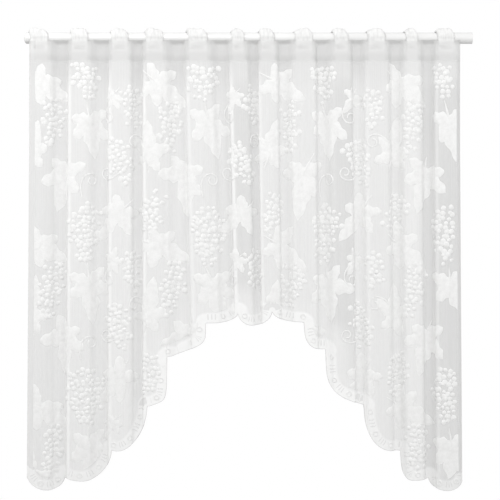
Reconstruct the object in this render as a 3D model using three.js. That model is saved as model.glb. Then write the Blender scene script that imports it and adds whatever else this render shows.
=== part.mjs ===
import * as THREE from 'three';

// A tab-top lace curtain on its rod: millimetres, +Z up, the front towards -Y.
// The origin lies on the rod's axis, at the middle of the rod's length.

// The rod and its end cap
const ROD_RADIUS = 14;
const ROD_LEFT = -540;
const ROD_RIGHT = 559;
const ROD_SIDES = 40;
const CAP_LENGTH = 18.5;
const CAP_EDGE_ROUND = 5;
const FIT_GAP = 0.3;

// The cloth
const CLOTH_THICKNESS = 1.4;
const HEADER_THICKNESS = 2;
const HEADER_TOP = -14.5;
const HEADER_DEPTH = 45;
const HEADER_SAG = 1.5;
const HEADER_FORE = 15.6;
const HEADER_VALLEY_FORE = 7;
const DROP = 1114.5;
const LEFT_EDGE = -545;
const RIGHT_EDGE = 528;
const LEFT_OF_CLOTH = { valley: -570, aft: 2 };
const FLARE = 0.021;
const RIDGE_CROWN = 2.5;
const SLOPE_SHARE = 0.65;
const RIDGES_START = 0.06;
const FOLDS_FULL = 0.25;
const HEADER_LAP_SHARE = 0.1;
const SLOPE_STEPS = 4;
const SCALLOP_STEP = 12;
const LEAST_COLUMN = 2;
const SETTLE_PASSES = 6;
const CLOTH_ROWS = 10;
const ROW_CROWDING = 1.35;

// The tabs
const TAB_THICKNESS = 1.4;
const LAND_MARGIN = 3;
const TAB_RISE = 9.5;
const TAB_CLEARANCE = 0.7;
const TAB_STEPS = 22;
const TAB_STRIPS = 4;
const FRONT_FOOT = 6;
const BACK_FOOT = 15;
const FOOT_SLACK = 0.2;

// One row for each tab and the fold that hangs from it, left to right.
// tab, width: middle and width of the tab; fore: how far the ridge stands forward of the rod's axis;
// valley, aft: place of the valley's floor on its right, and how far that stands back;
// lapLeft, lapRight: how far each edge of the ridge laps over the slope behind it;
// drift: sideways run at full drop; skew: how far the back of the tab leans to the left.
const FOLDS = [
  { tab: -521, width: 45, fore: 10, valley: -460, aft: 4, lapLeft: 0, lapRight: 2, drift: 4, skew: 9 },
  { tab: -420, width: 42, fore: 11, valley: -358, aft: 3, lapLeft: 3, lapRight: 0, drift: 3, skew: 7 },
  { tab: -320, width: 42, fore: 11, valley: -272, aft: 5, lapLeft: 3, lapRight: 1.5, drift: 6, skew: 8 },
  { tab: -234, width: 44, fore: 11.5, valley: -173, aft: 3, lapLeft: 3, lapRight: 0, drift: 6, skew: 6 },
  { tab: -126, width: 48, fore: 10, valley: -64, aft: 3, lapLeft: 2, lapRight: 1, drift: 34, skew: 10 },
  { tab: -26, width: 31, fore: 10.5, valley: 18, aft: 5, lapLeft: 3, lapRight: 1, drift: 26, skew: 5 },
  { tab: 47, width: 35, fore: 10, valley: 86, aft: 4, lapLeft: 2.5, lapRight: 1, drift: 13, skew: 8 },
  { tab: 138, width: 44, fore: 11, valley: 180, aft: 4, lapLeft: 0.5, lapRight: 2.5, drift: 4, skew: 7 },
  { tab: 231, width: 35, fore: 10, valley: 269, aft: 3, lapLeft: 0.5, lapRight: 2, drift: 8, skew: 9 },
  { tab: 319, width: 44, fore: 10.5, valley: 368, aft: 4, lapLeft: 1.5, lapRight: 1, drift: 6, skew: 6 },
  { tab: 407, width: 29, fore: 10.5, valley: 450, aft: 5, lapLeft: 0.5, lapRight: 1.5, drift: 0, skew: 8 },
  { tab: 492, width: 42, fore: 10, valley: 540, aft: 2, lapLeft: 1.5, lapRight: 1, drift: -4, skew: 7 },
];

// One row for each scallop of the hem, left to right: where it starts, and its lowest point;
// leftPower, rightPower: how square its corners are, 2 for a round one; slant: how much its foot
// slants up to them.
const SCALLOPS = [
  { startX: -556, startZ: -1074.5, lowX: -501, lowZ: -1128, leftPower: 2, rightPower: 2, slant: 0 },
  { startX: -459, startZ: -1092, lowX: -411, lowZ: -1105, leftPower: 2, rightPower: 1.8, slant: 0 },
  { startX: -341, startZ: -1027, lowX: -324, lowZ: -1030, leftPower: 2, rightPower: 1.8, slant: 0 },
  { startX: -252.5, startZ: -918, lowX: -246, lowZ: -917.5, leftPower: 2, rightPower: 7, slant: 0.12 },
  { startX: -204, startZ: -797, lowX: -191, lowZ: -794, leftPower: 2, rightPower: 7, slant: 0.38 },
  { startX: -107.5, startZ: -712, lowX: -84, lowZ: -711, leftPower: 2, rightPower: 2, slant: 0 },
  { startX: -26, startZ: -684.5, lowX: 10, lowZ: -717, leftPower: 2, rightPower: 2, slant: 0 },
  { startX: 59, startZ: -679.5, lowX: 121, lowZ: -708, leftPower: 2, rightPower: 2, slant: 0 },
  { startX: 139, startZ: -712, lowX: 191, lowZ: -777, leftPower: 2.8, rightPower: 2, slant: 0 },
  { startX: 194, startZ: -779.5, lowX: 284, lowZ: -915, leftPower: 4, rightPower: 2, slant: 0.22 },
  { startX: 289, startZ: -917, lowX: 364, lowZ: -1030, leftPower: 2.3, rightPower: 2, slant: 0 },
  { startX: 381, startZ: -1032, lowX: 411, lowZ: -1103, leftPower: 2.7, rightPower: 2, slant: 0 },
  { startX: 451, startZ: -1098, lowX: 496, lowZ: -1129, leftPower: 2, rightPower: 2, slant: 0 },
];
const HEM_END = { startX: 540, startZ: -1084.5 };

const { smoothstep, lerp } = THREE.MathUtils;

const laceFinish = new THREE.MeshStandardMaterial({ color: 0xf2f1ee, roughness: 0.9, metalness: 0 });
const rodFinish = new THREE.MeshStandardMaterial({ color: 0xf4f4f2, roughness: 0.35, metalness: 0 });

// A closed sheet of cloth from a grid of points on its middle surface. The two skins lie half the
// thickness to each side, and a rim runs round all four edges.
function sheetGeometry(middle, thicknessAt) {
  const columns = middle.length;
  const rows = middle[0].length;
  const positions = [];
  const across = new THREE.Vector3();
  const along = new THREE.Vector3();
  for (const side of [1, -1]) {
    for (let i = 0; i < columns; i++) {
      for (let j = 0; j < rows; j++) {
        const right = middle[Math.min(i + 1, columns - 1)][j];
        const left = middle[Math.max(i - 1, 0)][j];
        const below = middle[i][Math.min(j + 1, rows - 1)];
        const above = middle[i][Math.max(j - 1, 0)];
        across.subVectors(right, left);
        along.subVectors(below, above);
        const normal = across.cross(along).normalize();
        const offset = side * thicknessAt(middle[i][j]) / 2;
        positions.push(...middle[i][j].clone().addScaledVector(normal, offset).toArray());
      }
    }
  }
  const at = (i, j) => i * rows + j;
  const otherSkin = columns * rows;
  const index = [];
  const quad = (a, b, c, d) => index.push(a, b, c, a, c, d);
  for (let i = 0; i < columns - 1; i++) {
    for (let j = 0; j < rows - 1; j++) {
      const corners = [at(i, j), at(i + 1, j), at(i + 1, j + 1), at(i, j + 1)];
      quad(...corners);
      quad(...corners.map((corner) => corner + otherSkin).reverse());
    }
  }
  const rim = [];
  for (let i = 0; i < columns - 1; i++) rim.push(at(i, 0));
  for (let j = 0; j < rows - 1; j++) rim.push(at(columns - 1, j));
  for (let i = columns - 1; i > 0; i--) rim.push(at(i, rows - 1));
  for (let j = rows - 1; j > 0; j--) rim.push(at(0, j));
  rim.forEach((here, k) => {
    const next = rim[(k + 1) % rim.length];
    quad(next, here, here + otherSkin, next + otherSkin);
  });
  const geometry = new THREE.BufferGeometry();
  geometry.setAttribute('position', new THREE.Float32BufferAttribute(positions, 3));
  geometry.setIndex(index);
  geometry.computeVertexNormals();
  return geometry;
}

const fallAt = (z) => (HEADER_TOP - z) / DROP;
const landHalf = (fold) => fold.width / 2 + LAND_MARGIN;

// The foot of the slope from a fold's ridge towards a valley. The valley's floor is flat beyond it.
function slopeFoot(fold, valley) {
  const land = fold.tab + Math.sign(valley - fold.tab) * landHalf(fold);
  return lerp(land, valley, SLOPE_SHARE);
}

// How far the cloth at hung place q has run sideways at height z: the drift, eased from fold to fold,
// and the flare of the whole cloth.
function sidewaysRun(q, z) {
  const next = FOLDS.findIndex((fold) => fold.tab > q);
  const after = FOLDS.at(next);
  const before = next > 0 ? FOLDS[next - 1] : after;
  const drift = lerp(before.drift, after.drift, smoothstep(q, before.tab, after.tab));
  return fallAt(z) * (drift + FLARE * q);
}

// A point on the middle of the cloth at hung place q. Over each tab the cloth has a flat land, the
// ridge, and its two slopes lead back to the valleys. At the header the ridges hang straight down from
// the front of the rod and the valleys lie under it, and lower down the folds grow even.
function clothPoint(q, z) {
  const ridgesLoose = smoothstep(fallAt(z), RIDGES_START, FOLDS_FULL);
  const valleysLoose = 1 - (1 - Math.min(1, fallAt(z) / FOLDS_FULL)) ** 2;
  const k = FOLDS.findIndex((fold) => q < fold.valley);
  const fold = FOLDS[k];
  const onLeft = q < fold.tab;
  const floor = onLeft ? FOLDS[k - 1] ?? LEFT_OF_CLOTH : fold;
  const lap = onLeft ? fold.lapLeft : -fold.lapRight;
  const fromMiddle = Math.abs(q - fold.tab);
  const reach = Math.abs(slopeFoot(fold, floor.valley) - fold.tab);
  const ridge = 1 - smoothstep(fromMiddle, landHalf(fold), reach);
  const crown = RIDGE_CROWN * Math.max(0, 1 - (fromMiddle / landHalf(fold)) ** 2);
  const fore = lerp(HEADER_FORE, fold.fore + crown, ridgesLoose);
  const aft = lerp(-HEADER_VALLEY_FORE, floor.aft, valleysLoose);
  const lapShare = lerp(HEADER_LAP_SHARE, 1, valleysLoose) * Math.sin(2 * Math.PI * ridge);
  const sag = HEADER_SAG * (1 - ridge) * (1 - valleysLoose);
  return new THREE.Vector3(
    q + sidewaysRun(q, z) + lap * lapShare,
    lerp(aft, -fore, ridge),
    z - sag,
  );
}

// The hem's height at x. Each scallop is two rounded quarters that meet at its lowest point, and each
// quarter stands upright where it meets the next scallop.
function hemHeight(x) {
  const inside = THREE.MathUtils.clamp(x, SCALLOPS[0].startX, HEM_END.startX);
  const k = SCALLOPS.findLastIndex((scallop) => scallop.startX <= inside);
  const { lowX, lowZ, leftPower, rightPower, slant } = SCALLOPS[k];
  const onLeft = inside < lowX;
  const cusp = onLeft ? SCALLOPS[k] : SCALLOPS[k + 1] ?? HEM_END;
  const power = onLeft ? leftPower : rightPower;
  const out = Math.min(1, (inside - lowX) / (cusp.startX - lowX));
  const share = (1 - out ** power) ** (1 / power) * (1 - slant * out);
  return lerp(cusp.startZ, lowZ, share);
}

// The hung place of a point on the hem at x, with the sideways run taken off.
function hungPlace(x) {
  let q = x;
  for (let pass = 0; pass < SETTLE_PASSES; pass++) q = x - sidewaysRun(q, hemHeight(x));
  return THREE.MathUtils.clamp(q, LEFT_EDGE, RIGHT_EDGE);
}

// The hung places of the cloth's columns: the edges and middle of each ridge, steps down its slopes,
// and steps round each scallop that crowd at its upright ends.
function columnPlaces() {
  const places = [LEFT_EDGE, RIGHT_EDGE];
  FOLDS.forEach((fold, k) => {
    const landLeft = fold.tab - landHalf(fold);
    const landRight = fold.tab + landHalf(fold);
    const footLeft = slopeFoot(fold, (FOLDS[k - 1] ?? LEFT_OF_CLOTH).valley);
    const footRight = slopeFoot(fold, fold.valley);
    places.push(fold.tab);
    for (let step = 0; step <= SLOPE_STEPS; step++) {
      places.push(lerp(landLeft, footLeft, step / SLOPE_STEPS));
      places.push(lerp(landRight, footRight, step / SLOPE_STEPS));
    }
  });
  SCALLOPS.forEach((scallop, k) => {
    const quarters = [
      [scallop, scallop.leftPower],
      [SCALLOPS[k + 1] ?? HEM_END, scallop.rightPower],
    ];
    for (const [cusp, power] of quarters) {
      const steps = Math.ceil(Math.abs(cusp.startX - scallop.lowX) / SCALLOP_STEP);
      for (let step = 0; step <= steps; step++) {
        const out = Math.sin((step / steps) * Math.PI / 2) ** (2 / power);
        places.push(hungPlace(lerp(scallop.lowX, cusp.startX, out)));
      }
    }
  });
  const inOrder = places.filter((q) => q >= LEFT_EDGE && q <= RIGHT_EDGE).sort((a, b) => a - b);
  const apart = [];
  for (const q of inOrder) if (!apart.length || q - apart.at(-1) >= LEAST_COLUMN) apart.push(q);
  return apart;
}

function lacePanel() {
  const middle = columnPlaces().map((q) => {
    let hem = hemHeight(q);
    for (let pass = 0; pass < SETTLE_PASSES; pass++) hem = hemHeight(clothPoint(q, hem).x);
    const column = [];
    for (let j = 0; j <= CLOTH_ROWS; j++) {
      const share = (j / CLOTH_ROWS) ** ROW_CROWDING;
      column.push(clothPoint(q, lerp(HEADER_TOP, hem, share)));
    }
    return column;
  });
  const headerFoot = HEADER_TOP - HEADER_DEPTH;
  const thicknessAt = (point) => (point.z > headerFoot ? HEADER_THICKNESS : CLOTH_THICKNESS);
  const mesh = new THREE.Mesh(sheetGeometry(middle, thicknessAt), laceFinish);
  mesh.name = 'lace_panel';
  return mesh;
}

// A tab's loop seen along the rod, from its front foot over the rod to its back foot. Both feet lie
// behind the header, the back one below the front one. rise: share of the crown that the loose strap
// has there; lean: share of its skew; spread: share of its full width, drawn in at the back foot.
function tabLoop() {
  const seat = (HEADER_THICKNESS + TAB_THICKNESS) / 2 + FIT_GAP;
  const back = -HEADER_FORE + seat;
  const front = back + FOOT_SLACK;
  const wrap = ROD_RADIUS + TAB_CLEARANCE + TAB_THICKNESS / 2;
  const round = (degrees, rise, lean, spread) => {
    const angle = THREE.MathUtils.degToRad(degrees);
    return { y: -wrap * Math.cos(angle), z: wrap * Math.sin(angle), rise, lean, spread };
  };
  return [
    { y: front, z: HEADER_TOP - FRONT_FOOT, rise: 0, lean: 0, spread: 0.93 },
    { y: front, z: HEADER_TOP - FRONT_FOOT / 2, rise: 0, lean: 0, spread: 0.94 },
    { y: front, z: HEADER_TOP, rise: 0, lean: 0, spread: 0.95 },
    round(-14, 0, 0, 0.97),
    round(4, 0.15, 0, 0.99),
    round(25, 0.3, 0.1, 1),
    round(58, 0.8, 0.4, 1),
    round(90, 1, 0.7, 1),
    round(122, 0.8, 0.9, 1),
    round(155, 0.3, 1, 1),
    round(190, 0.1, 0.9, 0.95),
    round(225, 0.05, 0.6, 0.85),
    round(258, 0, 0.3, 0.75),
    { y: back + 2, z: HEADER_TOP - BACK_FOOT * 0.65, rise: 0, lean: 0, spread: 0.68 },
    { y: back, z: HEADER_TOP - BACK_FOOT * 0.85, rise: 0, lean: 0, spread: 0.65 },
    { y: back, z: HEADER_TOP - BACK_FOOT, rise: 0, lean: 0, spread: 0.65 },
  ];
}

function tab(fold, number) {
  const loop = tabLoop();
  const path = new THREE.CatmullRomCurve3(loop.map(({ y, z }) => new THREE.Vector3(0, y, z)));
  const shares = new THREE.CatmullRomCurve3(
    loop.map(({ rise, lean, spread }) => new THREE.Vector3(rise, lean, spread)),
    false,
    'catmullrom',
  );
  const middle = [];
  for (let n = 0; n <= TAB_STRIPS; n++) {
    const across = (n / TAB_STRIPS) * 2 - 1;
    const column = [];
    for (let step = 0; step <= TAB_STEPS; step++) {
      const place = path.getUtoTmapping(step / TAB_STEPS);
      const point = path.getPoint(place);
      const { x: rise, y: lean, z: spread } = shares.getPoint(place);
      const radius = Math.hypot(point.y, point.z);
      const swell = 1 + Math.max(0, rise) * TAB_RISE * (1 - Math.abs(across) ** 3) / radius;
      column.push(new THREE.Vector3(
        fold.tab + across * spread * fold.width / 2 - fold.skew * lean,
        point.y * swell,
        point.z * swell,
      ));
    }
    middle.push(column);
  }
  const mesh = new THREE.Mesh(sheetGeometry(middle, () => TAB_THICKNESS), laceFinish);
  mesh.name = `tab_${String(number).padStart(2, '0')}`;
  return mesh;
}

function rod() {
  const length = ROD_RIGHT - ROD_LEFT;
  const bar = new THREE.CylinderGeometry(ROD_RADIUS, ROD_RADIUS, length, ROD_SIDES);
  const mesh = new THREE.Mesh(bar, rodFinish);
  mesh.rotation.z = Math.PI / 2;
  mesh.position.x = (ROD_LEFT + ROD_RIGHT) / 2;
  mesh.name = 'rod';
  return mesh;
}

// The cap is turned about the rod's axis: flat where it meets the rod, round at its outer edge.
function rodEndCap() {
  const profile = [new THREE.Vector2(0, 0), new THREE.Vector2(ROD_RADIUS, 0)];
  const roundSteps = 5;
  for (let step = 0; step <= roundSteps; step++) {
    const angle = (step / roundSteps) * Math.PI / 2;
    profile.push(new THREE.Vector2(
      ROD_RADIUS - CAP_EDGE_ROUND + CAP_EDGE_ROUND * Math.cos(angle),
      CAP_LENGTH - CAP_EDGE_ROUND + CAP_EDGE_ROUND * Math.sin(angle),
    ));
  }
  profile.push(new THREE.Vector2(0, CAP_LENGTH));
  const mesh = new THREE.Mesh(new THREE.LatheGeometry(profile, ROD_SIDES), rodFinish);
  mesh.rotation.z = Math.PI / 2;
  mesh.position.x = ROD_LEFT - FIT_GAP;
  mesh.name = 'rod_end_cap';
  return mesh;
}

const curtain = new THREE.Group();
curtain.add(rod(), rodEndCap(), lacePanel());
FOLDS.forEach((fold, k) => curtain.add(tab(fold, k + 1)));

export default curtain;
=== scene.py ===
import math

import bmesh
import bpy
import numpy as np
from mathutils import Matrix, Vector
from mathutils.kdtree import KDTree


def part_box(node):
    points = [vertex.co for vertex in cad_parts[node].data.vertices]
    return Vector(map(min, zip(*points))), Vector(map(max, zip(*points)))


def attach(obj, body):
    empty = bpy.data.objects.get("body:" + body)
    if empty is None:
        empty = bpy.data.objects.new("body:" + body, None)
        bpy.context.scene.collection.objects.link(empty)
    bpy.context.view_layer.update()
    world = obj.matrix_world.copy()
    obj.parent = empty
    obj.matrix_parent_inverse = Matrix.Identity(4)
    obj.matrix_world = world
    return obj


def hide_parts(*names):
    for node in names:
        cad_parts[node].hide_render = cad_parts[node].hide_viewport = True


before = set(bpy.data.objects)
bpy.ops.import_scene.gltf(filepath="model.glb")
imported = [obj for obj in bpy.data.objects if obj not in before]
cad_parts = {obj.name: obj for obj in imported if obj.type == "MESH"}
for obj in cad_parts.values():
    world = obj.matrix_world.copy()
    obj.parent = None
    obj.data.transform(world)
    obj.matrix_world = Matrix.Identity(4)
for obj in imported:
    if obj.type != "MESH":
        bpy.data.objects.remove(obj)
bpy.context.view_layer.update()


# Rod: a 28 mm steel pole with satin white paint, cut square at its right end.
# Wall brackets hold it level, and the curtain's tabs are threaded on it.
ROD_SEGMENTS = 96
ROD_EDGE_ROUND = 0.0008
ROD_SHARP_DEGREES = 40
ROD_ROUGHNESS = 0.28
PAINT_COAT = 0.3
CLOUD_SCALE = 18.0
CLOUD_STOPS = (0.3, 0.7)
PEEL_SCALE = 900.0
PEEL_STRENGTH = 0.05
PEEL_HEIGHT = 0.0004
WARMTH = 0.005


def near_white(value):
    """A white or grey that is a trace warm."""
    return (value, value, value - WARMTH, 1)


ROD_SHADE = near_white(0.74)
ROD_WHITE = near_white(0.78)


def place_node(tree, kind, inputs=(), **settings):
    """A shader node with its settings, and its inputs in order or by key: a socket, a value or None."""
    node = tree.nodes.new(kind)
    for name, value in settings.items():
        setattr(node, name, value)
    keyed = inputs if isinstance(inputs, dict) else dict(enumerate(inputs))
    for key, value in keyed.items():
        if isinstance(value, bpy.types.NodeSocket):
            tree.links.new(value, node.inputs[key])
        elif value is not None:
            node.inputs[key].default_value = value
    return node


def new_material(name):
    """An empty node material and its node tree."""
    material = bpy.data.materials.new(name)
    material.use_nodes = True
    material.node_tree.nodes.clear()
    return material, material.node_tree


def object_place(tree):
    return place_node(tree, "ShaderNodeTexCoord").outputs["Object"]


def noise(tree, place, scale, detail):
    return place_node(tree, "ShaderNodeTexNoise", (place, None, scale, detail)).outputs[0]


def add_piece(name, mesh, material, slot, *replaced):
    """A finished piece at the origin that rides with the part and stands for the named nodes."""
    piece = bpy.data.objects.new(name, mesh)
    bpy.context.scene.collection.objects.link(piece)
    mesh.materials.append(material)
    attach(piece, "root")
    if replaced:
        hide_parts(*replaced)
    return piece


def satin_white(name, roughness):
    """Sprayed white finish: faint clouding in the colour, a fine orange peel and a clear gloss."""
    material, tree = new_material(name)
    place = object_place(tree)
    tint = place_node(tree, "ShaderNodeValToRGB", (noise(tree, place, CLOUD_SCALE, 4.0),))
    for stop, position, colour in zip(tint.color_ramp.elements, CLOUD_STOPS, (ROD_SHADE, ROD_WHITE)):
        stop.position = position
        stop.color = colour
    peel = noise(tree, place, PEEL_SCALE, 2.0)
    bump = place_node(tree, "ShaderNodeBump", (PEEL_STRENGTH, PEEL_HEIGHT, None, peel))
    finish = {
        "Base Color": tint.outputs[0],
        "Roughness": roughness,
        "Coat Weight": PAINT_COAT,
        "Normal": bump.outputs[0],
    }
    paint = place_node(tree, "ShaderNodeBsdfPrincipled", finish)
    place_node(tree, "ShaderNodeOutputMaterial", (paint.outputs[0],))
    return material


def smooth_mesh(name, shape, sharp_degrees):
    """A mesh from a bmesh, shaded smooth but for edges sharper than the angle."""
    mesh = bpy.data.meshes.new(name)
    bmesh.ops.recalc_face_normals(shape, faces=shape.faces)
    shape.to_mesh(mesh)
    shape.free()
    mesh.shade_smooth()
    mesh.set_sharp_from_angle(angle=math.radians(sharp_degrees))
    return mesh


rod_low, rod_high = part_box("rod")
rod_radius = (rod_high.z - rod_low.z) / 2
pole = bmesh.new()
bmesh.ops.create_cone(
    pole,
    cap_ends=True,
    segments=ROD_SEGMENTS,
    radius1=rod_radius,
    radius2=rod_radius,
    depth=rod_high.x - rod_low.x,
    matrix=Matrix.Translation((rod_low + rod_high) / 2) @ Matrix.Rotation(math.pi / 2, 4, "Y"),
)
end_edges = [edge for edge in pole.edges if len({len(face.verts) for face in edge.link_faces}) > 1]
bmesh.ops.bevel(
    pole, geom=end_edges, offset=ROD_EDGE_ROUND, segments=3, profile=0.5, affect="EDGES", material=-1
)
pole_mesh = smooth_mesh("pole", pole, ROD_SHARP_DEGREES)
add_piece("pole", pole_mesh, satin_white("satin_white_paint", ROD_ROUGHNESS), "rod_paint", "rod")


# End cap: a turned plug of white plastic, pushed onto the left end of the pole.
# Its outer edge is rounded, and a fine groove shows where it meets the pole.
CAP_EDGE_ROUND = 0.005
CAP_EDGE_STEPS = 8
CAP_LIP = 0.0006
CAP_SHARP_DEGREES = 35
CAP_ROUGHNESS = 0.22
cap_low, cap_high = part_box("rod_end_cap")
cap_radius = (cap_high.z - cap_low.z) / 2
plug = bmesh.new()
cap_profile = [Vector((cap_high.x, 0, 0)), Vector((cap_high.x, 0, cap_radius - CAP_LIP))]
cap_profile.append(Vector((cap_high.x - CAP_LIP, 0, cap_radius)))
for step in range(CAP_EDGE_STEPS + 1):
    turn = step / CAP_EDGE_STEPS * math.pi / 2
    cap_profile.append(Vector((
        cap_low.x + CAP_EDGE_ROUND * (1 - math.sin(turn)),
        0,
        cap_radius - CAP_EDGE_ROUND * (1 - math.cos(turn)),
    )))
cap_profile.append(Vector((cap_low.x, 0, 0)))
profile_verts = [plug.verts.new(point) for point in cap_profile]
profile_edges = [plug.edges.new(pair) for pair in zip(profile_verts, profile_verts[1:])]
bmesh.ops.spin(
    plug,
    geom=profile_verts + profile_edges,
    cent=(0, 0, 0),
    axis=(1, 0, 0),
    angle=2 * math.pi,
    steps=ROD_SEGMENTS,
    use_merge=True,
)
bmesh.ops.remove_doubles(plug, verts=plug.verts, dist=1e-6)
cap_mesh = smooth_mesh("end_cap", plug, CAP_SHARP_DEGREES)
cap_plastic = satin_white("satin_white_plastic", CAP_ROUGHNESS)
add_piece("end_cap", cap_mesh, cap_plastic, "cap_plastic", "rod_end_cap")


# Lace ground: one width of fine white net, with a doubled header, folded side hems and a dense
# woven border along its arched, scalloped foot. It hangs in a fold under each tab.
HEADER_TOP = -0.0145
HEADER_DEPTH = 0.045
HEADER_SAG = 0.0015
HEADER_FORE = 0.0156
HEADER_VALLEY_FORE = 0.007
HEADER_LAP_SHARE = 0.1
UPSTAND = 0.0090
UPSTAND_AT_TABS = 0.0055
UPSTAND_RADIUS = 0.0153
UPSTAND_RADIUS_AT_TABS = 0.0160
DROP = 1.1145
LEFT_EDGE = -0.545
RIGHT_EDGE = 0.528
LEFT_OF_CLOTH = -0.570
LEFT_OF_CLOTH_AFT = 0.002
# Painted shade on the net left of the first tab; below 0 it is painted light.
LEFT_OF_CLOTH_PAINTED_SHADE = -0.1
FLARE = 0.021
LAND_MARGIN = 0.003
RIDGE_CROWN = 0.0025
SLOPE_SHARE = 0.65
PUFF_FORE = 0.0022
PUFF_PLACE = -0.55
PUFF_SPREAD = 0.4
PUFF_HEIGHT = -0.0190
PUFF_HALF = 0.0055
RIDGES_START = 0.06
FOLDS_FULL = 0.25
GROUND_COLUMNS = 440
GROUND_ROWS = 200
HEM_CROWDING = 1.25
HEM_PASSES = 6

# One row for each tab and the fold under it, left to right: middle and width of the tab, how far the
# ridge stands forward, place and depth of the valley on its right, lap of its left and right edges,
# sideways run at full drop, lean of the tab's back, how much painted light whitens its ridge, or below 0
# how much painted shade greys it, and how much painted shade greys the valley on its right, or below 0
# how much painted light whitens it.
FOLD_COLUMNS = (
    "tab", "width", "fore", "valley", "aft", "lap_left", "lap_right", "drift", "skew", "white", "grey"
)
FOLD_ROWS = (
    (-0.521, 0.045, 0.0100, -0.460, 0.004, 0.0000, 0.0010, 0.004, 0.009, -0.12, 0.00),
    (-0.420, 0.042, 0.0110, -0.358, 0.003, 0.0030, 0.0000, 0.003, 0.007, 0.12, -0.08),
    (-0.320, 0.042, 0.0110, -0.272, 0.005, 0.0030, 0.0010, 0.006, 0.008, 0.25, -0.12),
    (-0.234, 0.044, 0.0115, -0.173, 0.003, 0.0030, 0.0000, 0.006, 0.006, 0.10, 0.00),
    (-0.126, 0.048, 0.0100, -0.064, 0.003, 0.0020, 0.0006, 0.034, 0.010, 0.12, 0.05),
    (-0.026, 0.031, 0.0105, 0.018, 0.005, 0.0030, 0.0006, 0.026, 0.005, -0.45, 0.20),
    (0.047, 0.035, 0.0100, 0.086, 0.004, 0.0025, 0.0006, 0.013, 0.008, 0.10, -0.15),
    (0.138, 0.044, 0.0110, 0.180, 0.004, 0.0005, 0.0012, 0.004, 0.007, 0.12, -0.04),
    (0.231, 0.035, 0.0100, 0.269, 0.003, 0.0005, 0.0010, 0.008, 0.009, -0.52, -0.40),
    (0.319, 0.044, 0.0105, 0.368, 0.004, 0.0015, 0.0006, 0.006, 0.006, 0.05, -0.10),
    (0.407, 0.029, 0.0105, 0.450, 0.005, 0.0005, 0.0008, 0.000, 0.008, 0.30, 0.48),
    (0.492, 0.042, 0.0100, 0.540, 0.002, 0.0015, 0.0006, -0.004, 0.007, -0.60, 0.34),
)
FOLDS = {name: np.array(column) for name, column in zip(FOLD_COLUMNS, zip(*FOLD_ROWS))}

# One row for each small crease beside the folds: hung place, half width, how far it stands forward,
# and the heights between which it shows.
CREASE_ROWS = (
    (-0.489, 0.009, -0.0016, -0.20, -1.05),
    (-0.402, 0.007, 0.0012, -0.12, -0.70),
    (-0.378, 0.010, -0.0020, -0.10, -1.08),
    (-0.304, 0.006, -0.0012, -0.30, -1.00),
    (-0.209, 0.006, -0.0024, -0.09, -0.75),
    (-0.190, 0.008, 0.0014, -0.15, -0.72),
    (-0.146, 0.009, 0.0016, -0.20, -0.60),
    (-0.101, 0.008, -0.0020, -0.10, -0.66),
    (-0.040, 0.006, -0.0014, -0.20, -0.62),
    (0.066, 0.007, -0.0018, -0.10, -0.64),
    (0.112, 0.008, 0.0014, -0.25, -0.66),
    (0.129, 0.006, -0.0018, -0.12, -0.66),
    (0.205, 0.007, 0.0014, -0.10, -0.74),
    (0.243, 0.006, -0.0016, -0.30, -0.86),
    (0.304, 0.008, -0.0020, -0.14, -0.95),
    (0.341, 0.007, 0.0014, -0.20, -0.98),
    (0.398, 0.006, -0.0012, -0.40, -1.02),
    (0.476, 0.006, 0.0016, -0.12, -1.05),
    (0.507, 0.008, -0.0018, -0.20, -1.06),
)
CREASE_FADE = 0.10

# One row for each scallop of the hem, left to right: x and z where it starts, and of its lowest point,
# how square its left and right corners are, and how much its foot slants up to them.
SCALLOPS = np.array((
    (-0.556, -1.0745, -0.501, -1.128, 2.0, 2.0, 0.00),
    (-0.459, -1.0920, -0.411, -1.105, 2.0, 1.8, 0.00),
    (-0.341, -1.0270, -0.324, -1.030, 2.0, 1.8, 0.00),
    (-0.2525, -0.9180, -0.246, -0.9175, 2.0, 7.0, 0.12),
    (-0.204, -0.7970, -0.191, -0.794, 2.0, 7.0, 0.38),
    (-0.1075, -0.7120, -0.084, -0.711, 2.0, 2.0, 0.00),
    (-0.026, -0.6845, 0.010, -0.717, 2.0, 2.0, 0.00),
    (0.059, -0.6795, 0.121, -0.708, 2.0, 2.0, 0.00),
    (0.139, -0.7120, 0.191, -0.777, 2.8, 2.0, 0.00),
    (0.194, -0.7795, 0.284, -0.915, 4.0, 2.0, 0.22),
    (0.289, -0.9170, 0.364, -1.030, 2.3, 2.0, 0.00),
    (0.381, -1.0320, 0.411, -1.103, 2.7, 2.0, 0.00),
    (0.451, -1.0980, 0.496, -1.129, 2.0, 2.0, 0.00),
    (0.540, -1.0845, 0.540, -1.0845, 2.0, 2.0, 0.00),
))


def eased(value, low, high):
    """0 below the first limit, 1 above the second, and smooth between them."""
    share = np.clip((value - low) / np.maximum(high - low, 1e-9), 0, 1)
    return share * share * (3 - 2 * share)


def blend(first, second, share):
    return first + (second - first) * share


def fall_at(z):
    return (HEADER_TOP - z) / DROP


def sideways_run(q, z):
    """How far the cloth at hung place q has run sideways at height z."""
    tabs = FOLDS["tab"]
    after = np.searchsorted(tabs, q, side="right")
    before = np.clip(after - 1, 0, len(tabs) - 1)
    after = np.clip(after, 0, len(tabs) - 1)
    drift = blend(FOLDS["drift"][before], FOLDS["drift"][after], eased(q, tabs[before], tabs[after]))
    return fall_at(z) * (drift + FLARE * q)


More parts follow.
